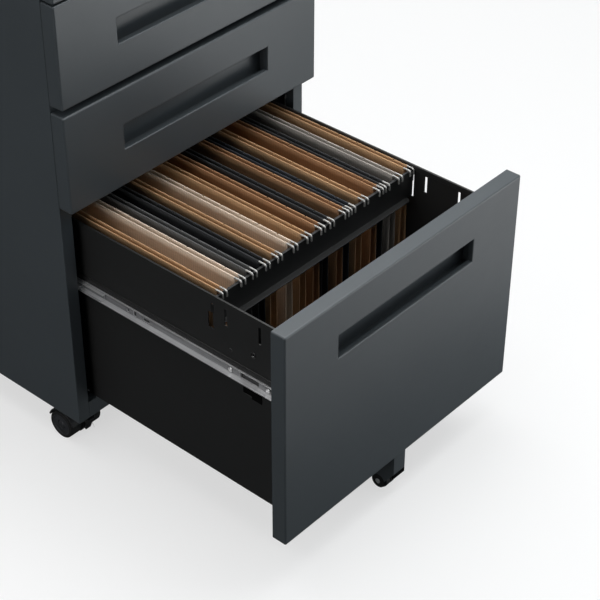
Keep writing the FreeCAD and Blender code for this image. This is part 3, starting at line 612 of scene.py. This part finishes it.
FOLDER_STYLES = ("tan", "cream", "grey", "charcoal", "tan", "cream", "tan", "brown",
                 "charcoal", "brown", "slate", "tan", "brown", "charcoal", "pale", "tan")

# A folder's two bars, and the hem that is rolled over each; ROLL places its corners as shares of HEM_HALF.
BAR_SPREAD = 6.2 * MM
HEM_HEIGHT = 9.0 * MM
HEM_HALF = 0.75 * MM
ROLL_ACROSS = 0.7
ROLL_DROP = 0.3

# A leaf swells from its hem to the shoulder and the belly, and narrows to the fold at the bottom.
LEAF_HALF = 0.3 * MM
SHOULDER = 1.7 * MM
SHOULDER_DROP = 14.0 * MM
BELLY = 2.5 * MM
BELLY_HEIGHT = 0.55
FOLD_HALF = 0.9 * MM

# Notches for index tabs in the right-hand hem; the first is set back by a share of the pitch.
SLOT_PITCH = 27.7 * MM
SLOT_HALF = 0.7 * MM
SLOT_DEPTH = 1.8 * MM
FIRST_SLOT = 0.7


def islands(mesh):
    """Groups of vertices that are joined by edges."""
    left = set(mesh.verts)
    groups = []
    while left:
        group = {left.pop()}
        waiting = list(group)
        while waiting:
            vertex = waiting.pop()
            joined = {edge.other_vert(vertex) for edge in vertex.link_edges} & left
            left -= joined
            group |= joined
            waiting += joined
        groups.append(group)
    return groups


def folder_places():
    """The folders' middles along X, read from the separate solids of the CAD node."""
    mesh = bmesh.new()
    mesh.from_mesh(frame["nodes"]["folder_cards"].data)
    bmesh.ops.remove_doubles(mesh, verts=mesh.verts, dist=WELD)
    places = sorted({round(sum(v.co.x for v in island) / len(island), 5) for island in islands(mesh)})
    mesh.free()
    return places


def leaf_outer(side, low, high, notch):
    """Outer profile of one leaf from hem to fold; side is -1 or 1, notch lowers the hem's top."""
    bar = side * BAR_SPREAD / 2
    top = high - notch
    hem_low = high - HEM_HEIGHT
    out = side * HEM_HALF
    middle = low + BELLY_HEIGHT * (high - low)
    return [
        (bar - out, hem_low),
        (bar - out, top - HEM_HALF),
        (bar - ROLL_ACROSS * out, top - ROLL_DROP * HEM_HALF),
        (bar, top),
        (bar + ROLL_ACROSS * out, top - ROLL_DROP * HEM_HALF),
        (bar + out, top - HEM_HALF),
        (bar + out, hem_low),
        (bar + side * LEAF_HALF, hem_low - HEM_HALF),
        (bar + side * SHOULDER, hem_low - SHOULDER_DROP),
        (bar + side * BELLY, middle),
        (side * (FOLD_HALF + LEAF_HALF), low + 2 * FOLD_HALF),
        (side * FOLD_HALF, low),
    ]


def leaf_inner(side, low, high):
    """Inner profile of one leaf from the fold up to its hem."""
    bar = side * BAR_SPREAD / 2
    middle = low + BELLY_HEIGHT * (high - low)
    return [
        (side * (FOLD_HALF - LEAF_HALF), low + 3 * FOLD_HALF),
        (bar + side * (BELLY - 2 * LEAF_HALF), middle),
        (bar + side * (SHOULDER - 2 * LEAF_HALF), high - HEM_HEIGHT - SHOULDER_DROP),
        (bar - side * LEAF_HALF, high - HEM_HEIGHT - HEM_HALF),
    ]


def folder_section(x, y, low, high, notch):
    """Closed V-section of a folder: the left leaf down, the right leaf up, then back down inside."""
    outline = leaf_outer(-1, low, high, 0.0) + list(reversed(leaf_outer(1, low, high, notch)))
    outline += list(reversed(leaf_inner(1, low, high))) + leaf_inner(-1, low, high)
    return [(x + dx, y, z) for dx, z in outline]


def folder_sections(x, low, high):
    """Sections along the folder: the right hem is notched for index tabs at an even pitch."""
    stations = [(low.y, 0.0)]
    slot = low.y + SLOT_PITCH * FIRST_SLOT
    while slot < high.y - SLOT_PITCH / 2:
        stations += [(slot - SLOT_HALF, 0.0), (slot - SLOT_HALF, SLOT_DEPTH)]
        stations += [(slot + SLOT_HALF, SLOT_DEPTH), (slot + SLOT_HALF, 0.0)]
        slot += SLOT_PITCH
    stations.append((high.y, 0.0))
    return [folder_section(x, y, low.z, high.z, notch) for y, notch in stations]


def folders():
    """One folder for each solid of the CAD node, in the colours of FOLDER_STYLES from left to right."""
    low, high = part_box("folder_cards")
    first = None
    for number, (x, style) in enumerate(zip(folder_places(), FOLDER_STYLES), 1):
        mesh = bmesh.new()
        add_loft(mesh, folder_sections(x, low, high))
        bmesh.ops.remove_doubles(mesh, verts=mesh.verts, dist=FINE_WELD)
        made = piece(f"hanging_folder_{number:02d}", mesh, CARDS[style], "file_drawer")
        first = first or made
    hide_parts("folder_cards")


# --- hooks at the ends of the folders' bars

HOOK_HALF_WIDTH = 1.0 * MM
HOOK_HALF_THICK = 0.9 * MM
HOOK_BEND = 2.6 * MM
HOOK_DROP = 8.5 * MM
HOOK_CORNER = 0.45 * MM

# The last stretch of a hook is drawn in to a share of its section, for a rounded end.
HOOK_TIP = 0.4 * MM
TIP_SHARE = 0.6
HOOK_BEND_STEPS = 6

# The bars lie this far below the hems' tops, and their ends start this far inside the cards.
BAR_SINK = 0.1 * MM
BAR_ROOT = 0.4 * MM


def hook_path(tip_y, arm_y, top_z, turn):
    """Middle line of a hook in Y and Z: along the arm, round the bend and down; turn is -1 or 1 along Y."""
    arm_z = top_z - HOOK_HALF_THICK
    drop_y = tip_y - turn * HOOK_HALF_THICK
    bend = (drop_y - turn * HOOK_BEND, arm_z - HOOK_BEND)
    path = [(arm_y, arm_z)]
    for k in range(HOOK_BEND_STEPS + 1):
        angle = math.radians(90 * k / HOOK_BEND_STEPS)
        path.append((bend[0] + turn * HOOK_BEND * math.sin(angle), bend[1] + HOOK_BEND * math.cos(angle)))
    path.append((drop_y, top_z - HOOK_DROP + HOOK_TIP))
    path.append((drop_y, top_z - HOOK_DROP))
    return path


def strip_outline(share):
    """Corners of a strip's rounded section, scaled to a share of the full size."""
    width, thick, corner = HOOK_HALF_WIDTH * share, HOOK_HALF_THICK * share, HOOK_CORNER * share
    return [
        (width - corner, thick),
        (width, thick - corner),
        (width, corner - thick),
        (width - corner, -thick),
        (corner - width, -thick),
        (-width, corner - thick),
        (-width, thick - corner),
        (corner - width, thick),
    ]


def hook_sections(x, path, turn):
    """The strip's section at each point of the path, square to it; the last one is drawn in."""
    sections = []
    for i, (y, z) in enumerate(path):
        before, after = path[max(i - 1, 0)], path[min(i + 1, len(path) - 1)]
        along = Vector((0, after[0] - before[0], after[1] - before[1])).normalized()
        normal = along.cross(Vector((turn, 0, 0)))
        outline = strip_outline(TIP_SHARE if i == len(path) - 1 else 1.0)
        centre = Vector((x, y, z))
        sections.append([centre + Vector((across, 0, 0)) + normal * up for across, up in outline])
    return sections


def hooks():
    """Bar ends of all folders, bent over the front and the rear rail, as one piece."""
    low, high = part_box("folder_hooks")
    cards_low, cards_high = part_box("folder_cards")
    bar_top = cards_high.z - BAR_SINK
    ends = (
        (low.y, cards_low.y + BAR_ROOT, -1),
        (high.y, cards_high.y - BAR_ROOT, 1),
    )
    mesh = bmesh.new()
    for place in folder_places():
        for side in SIDES.values():
            x = place + side * BAR_SPREAD / 2
            for tip_y, arm_y, turn in ends:
                add_loft(mesh, hook_sections(x, hook_path(tip_y, arm_y, bar_top, turn), turn))
    piece("folder_bar_hooks", mesh, HOOK, "file_drawer", replaces=("folder_hooks",))


# --- surroundings

# Solved from the photograph's straight edges: place in metres, turns in degrees, lens in millimetres.
CAMERA_PLACE = (-1.1933, -1.3367, 1.39465)
CAMERA_HEADING = -48.702
CAMERA_DOWN = 36.954
CAMERA_ROLL = 0.149
FOCAL_LENGTH = 105.989
FILM_WIDTH = 36.0
CLIP_END = 50.0


def camera():
    """The photographer's place: to the front left of the cabinet and above it."""
    data = bpy.data.cameras.new("camera")
    data.sensor_width = FILM_WIDTH
    data.lens = FOCAL_LENGTH
    data.clip_end = CLIP_END
    obj = bpy.data.objects.new("camera", data)
    obj.location = CAMERA_PLACE
    obj.rotation_mode = "XYZ"
    heading = Matrix.Rotation(math.radians(CAMERA_HEADING), 4, "Z")
    pitch = Matrix.Rotation(math.radians(90 - CAMERA_DOWN), 4, "X")
    roll = Matrix.Rotation(math.radians(CAMERA_ROLL), 4, "Z")
    obj.rotation_euler = (heading @ pitch @ roll).to_euler("XYZ")
    SCENE.collection.objects.link(obj)
    SCENE.camera = obj


def staging(name, mesh, color, roughness, glow):
    """A matt surface with a pale glow of its own, which the cabinet neither reflects nor is lit by."""
    data = bpy.data.meshes.new(name)
    mesh.to_mesh(data)
    mesh.free()
    data.shade_smooth()
    obj = bpy.data.objects.new(name, data)
    SCENE.collection.objects.link(obj)
    pale = Surface("studio_" + name, color, roughness)
    pale.set("Specular IOR Level", 0.0)
    pale.set("Emission Color", (1.0, 1.0, 1.0, 1.0))
    pale.set("Emission Strength", glow)
    data.materials.append(pale.material)
    obj.visible_diffuse = False
    obj.visible_glossy = False
    return obj


FLOOR_HALF = 8.0
FLOOR_GREY = (0.30, 0.30, 0.30)
FLOOR_ROUGHNESS = 0.7
FLOOR_GLOW = 0.605


def floor():
    """The ground that takes the cabinet's shadow."""
    mesh = bmesh.new()
    bmesh.ops.create_grid(mesh, x_segments=1, y_segments=1, size=FLOOR_HALF)
    obj = staging("floor", mesh, FLOOR_GREY, FLOOR_ROUGHNESS, FLOOR_GLOW)


# Foot and top of the wall as distance from the middle and height, in metres, and the bend between them.
BACKDROP_FOOT = (7.0, 0.0)
BACKDROP_TOP = (12.0, 14.0)
BACKDROP_BEND = 3.0
BACKDROP_BEND_STEPS = 8
BACKDROP_SINK = 0.002
BACKDROP_SIDES = 64
BACKDROP_GLOW = 0.66


def backdrop():
    """A pale wall that rises in a curve all round, far away; it is only seen, and throws no shadow."""
    mesh = bmesh.new()
    bend_centre = (BACKDROP_TOP[0] - BACKDROP_BEND, BACKDROP_BEND)
    bend = arc(bend_centre, BACKDROP_BEND, -90, 0, BACKDROP_BEND_STEPS)
    rings = []
    for radius, height in [BACKDROP_FOOT, *bend, BACKDROP_TOP]:
        flat = arc((0.0, 0.0), radius, 0, 360, BACKDROP_SIDES)[:-1]
        rings.append([mesh.verts.new((x, y, height - BACKDROP_SINK)) for x, y in flat])
    for near, far in zip(rings, rings[1:]):
        for k in range(BACKDROP_SIDES):
            j = (k + 1) % BACKDROP_SIDES
            mesh.faces.new((near[k], near[j], far[j], far[k]))
    obj = staging("backdrop", mesh, (0.0, 0.0, 0.0), 1.0, BACKDROP_GLOW)
    obj.visible_shadow = False


def area_light(name, place, target, size, power):
    """A rectangular light that faces a point; the camera does not see it."""
    data = bpy.data.lights.new(name, "AREA")
    data.shape = "RECTANGLE"
    data.size, data.size_y = size
    data.energy = power
    obj = bpy.data.objects.new(name, data)
    obj.location = place
    obj.visible_camera = False
    direction = Vector(target) - Vector(place)
    obj.rotation_euler = direction.to_track_quat("-Z", "Y").to_euler()
    SCENE.collection.objects.link(obj)


# Name, place and the point it faces in metres, width and height in metres, and power in watts.
LIGHTS = (
    ("overhead", (0.4, 0.5, 2.8), (0.1, 0.0, 0.0), (3.2, 3.2), 94.0),
    ("over_drawer", (0.35, -0.55, 1.3), (0.05, -0.35, 0.3), (0.8, 0.6), 4.3),
    ("upper_left", (-2.4, -0.1, 2.0), (0.0, 0.0, 0.3), (2.0, 2.0), 17.0),
    ("left", (-2.0, -0.3, 0.6), (0.0, -0.1, 0.3), (1.2, 1.0), 11.5),
    ("low_right", (0.9, -1.3, 0.08), (0.0, -0.4, 0.25), (0.7, 0.5), 3.6),
    ("floor_bounce_near", (0.55, -1.0, 0.03), (0.0, -0.43, 0.3), (0.8, 0.6), 0.8),
    ("floor_bounce", (0.35, -0.95, 0.02), (0.35, -0.9, 1.0), (1.2, 0.7), 0.85),
)


WORLD_TINT = (0.88, 0.96, 1.0, 1.0)
WORLD_DIM = 0.042
WORLD_BRIGHT = 0.85
GLOW_TOWARDS = (0.75, -0.45, 0.45)
GLOW_EDGE = 0.2


def world():
    """Dim surroundings with a soft glow from the front right, above the horizon."""
    made = bpy.data.worlds.new("studio")
    made.use_nodes = True
    tree = made.node_tree
    tree.nodes["Background"].inputs["Color"].default_value = WORLD_TINT
    direction = tree.nodes.new("ShaderNodeTexCoord")
    facing = tree.nodes.new("ShaderNodeVectorMath")
    facing.operation = "DOT_PRODUCT"
    facing.inputs[1].default_value = Vector(GLOW_TOWARDS).normalized()
    glow = tree.nodes.new("ShaderNodeMapRange")
    glow.interpolation_type = "SMOOTHSTEP"
    glow.inputs["From Min"].default_value = GLOW_EDGE
    glow.inputs["From Max"].default_value = 1.0
    glow.inputs["To Min"].default_value = WORLD_DIM
    glow.inputs["To Max"].default_value = WORLD_BRIGHT
    tree.links.new(direction.outputs["Generated"], facing.inputs[0])
    tree.links.new(facing.outputs["Value"], glow.inputs["Value"])
    tree.links.new(glow.outputs["Result"], tree.nodes["Background"].inputs["Strength"])
    SCENE.world = made


def studio():
    """The surroundings, the lights, and plain colours without a film look."""
    world()
    for name, place, target, size, power in LIGHTS:
        area_light(name, place, target, size, power)
    SCENE.view_settings.view_transform = "Standard"
    SCENE.view_settings.look = "None"


camera()
floor()
backdrop()
studio()
plain_parts()
fronts()
castors()
wall_details()
slide_catch()
tip_castor_caps()
tip_bracket_pad()
folders()
hooks()
